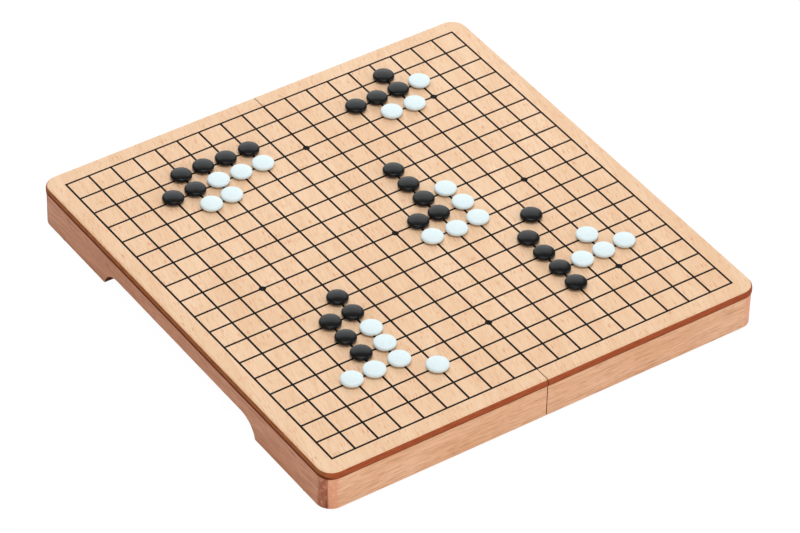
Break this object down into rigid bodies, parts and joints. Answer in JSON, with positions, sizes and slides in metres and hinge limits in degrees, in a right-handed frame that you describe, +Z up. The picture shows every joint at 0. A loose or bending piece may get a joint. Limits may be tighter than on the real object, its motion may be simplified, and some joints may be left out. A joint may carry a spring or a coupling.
{
  "type": "folding go board with stone drawers",
  "caption": "Folding wooden go board on shallow mitred boxes, with stones in play, hand cut-outs and a drawer in each half.",
  "frame": {"origin": "middle of the open board, on the surface that it stands on", "axes": "+Y along the seam from the front edge to the back edge, +X to the right, +Z up"},
  "size_m": [0.312, 0.3198, 0.0339],
  "materials": {
    "beech_face": "satin",
    "dark_core": "satin",
    "beech_rail": "satin",
    "plywood": "matte",
    "felt": "matte",
    "brass": "satin",
    "black_glass": "satin",
    "white_glass": "satin"
  },
  "bodies": {
    "left_half": {"veneer_left": "beech_face", "core_panel_left": "dark_core", "outer_rail_left": "beech_rail", "front_rail_left": "beech_rail", "back_rail_left": "beech_rail", "spine_rail_left": "beech_rail", "grip_wall_left": "beech_rail", "cross_rail_left": "beech_rail", "bottom_panel_left": "plywood", "felt_pads_left": "felt", "hinge_screws_left": "brass", "hinge_leaves_left": "brass", "hinge_pins": "brass"},
    "right_half": {"veneer_right": "beech_face", "core_panel_right": "dark_core", "outer_rail_right": "beech_rail", "front_rail_right": "beech_rail", "back_rail_right": "beech_rail", "spine_rail_right": "beech_rail", "grip_wall_right": "beech_rail", "cross_rail_right": "beech_rail", "bottom_panel_right": "plywood", "felt_pads_right": "felt", "hinge_screws_right": "brass", "hinge_leaves_right": "brass"},
    "left_drawer": {"drawer_front_left": "beech_rail", "drawer_inner_side_left": "beech_rail", "drawer_outer_side_left": "beech_rail", "drawer_back_left": "beech_rail", "drawer_bottom_left": "plywood"},
    "left_stones": {"black_stones_left": "black_glass", "white_stones_left": "white_glass"},
    "right_drawer": {"drawer_front_right": "beech_rail", "drawer_inner_side_right": "beech_rail", "drawer_outer_side_right": "beech_rail", "drawer_back_right": "beech_rail", "drawer_bottom_right": "plywood"},
    "right_stones": {"black_stones_right": "black_glass", "white_stones_right": "white_glass"}
  },
  "joints": [
    {"name": "fold", "type": "hinge", "parent": "left_half", "child": "right_half", "pos_m": [0, 0, 0.0017], "axis": [0, 1, 0], "range_deg": [0, 178.5]},
    {"name": "left_drawer_slide", "type": "slide", "parent": "left_half", "child": "left_drawer", "axis": [0, 1, 0], "range_m": [0, 0.15]},
    {"name": "left_stones_lift", "type": "slide", "parent": "left_half", "child": "left_stones", "axis": [0, 0, 1], "range_m": [0, 0.025]},
    {"name": "right_drawer_slide", "type": "slide", "parent": "right_half", "child": "right_drawer", "axis": [0, 1, 0], "range_m": [0, 0.15]},
    {"name": "right_stones_lift", "type": "slide", "parent": "right_half", "child": "right_stones", "axis": [0, 0, 1], "range_m": [0, 0.025]}
  ]
}
